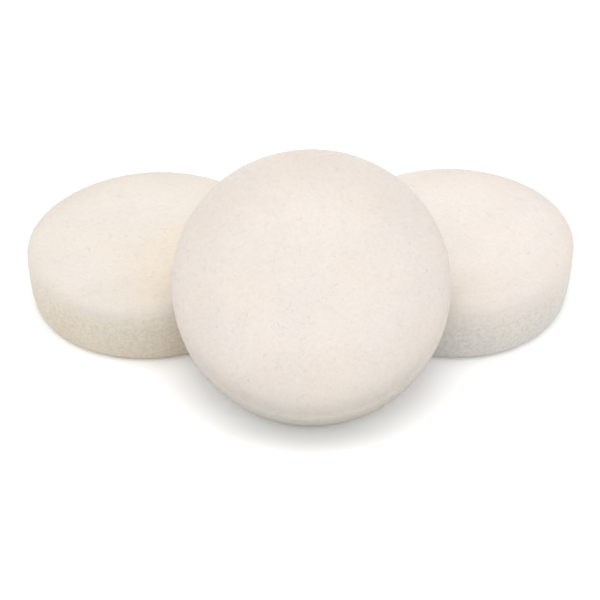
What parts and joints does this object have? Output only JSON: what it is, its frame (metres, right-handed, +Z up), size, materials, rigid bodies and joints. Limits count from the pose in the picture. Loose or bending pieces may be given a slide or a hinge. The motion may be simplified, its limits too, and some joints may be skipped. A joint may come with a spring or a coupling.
{
  "type": "felt polishing wheel set",
  "caption": "Plain round wool felt polishing wheels with rounded rims, two lying flat and one leaning on them, each with a blind pin hole in its back.",
  "frame": {"origin": "bottom centre of the set's bounding box, on the bench", "axes": "+X along the pair that lies flat, towards the right wheel; +Y away from the side that the leaning wheel faces; +Z up"},
  "size_m": [0.0556, 0.0376, 0.0191],
  "materials": {
    "wool_felt": "matt pressed wool felt"
  },
  "bodies": {
    "left_wheel": {"left_wheel": "wool_felt"},
    "right_wheel": {"right_wheel": "wool_felt"},
    "front_wheel": {"front_wheel": "wool_felt"}
  },
  "joints": [
    {"name": "right_wheel_slide", "type": "slide", "parent": "left_wheel", "child": "right_wheel", "axis": [1, 0, 0], "range_m": [0, 0.02]},
    {"name": "front_wheel_lift", "type": "slide", "parent": "left_wheel", "child": "front_wheel", "axis": [-0.016, -0.5734, 0.8192], "range_m": [0, 0.03]}
  ]
}
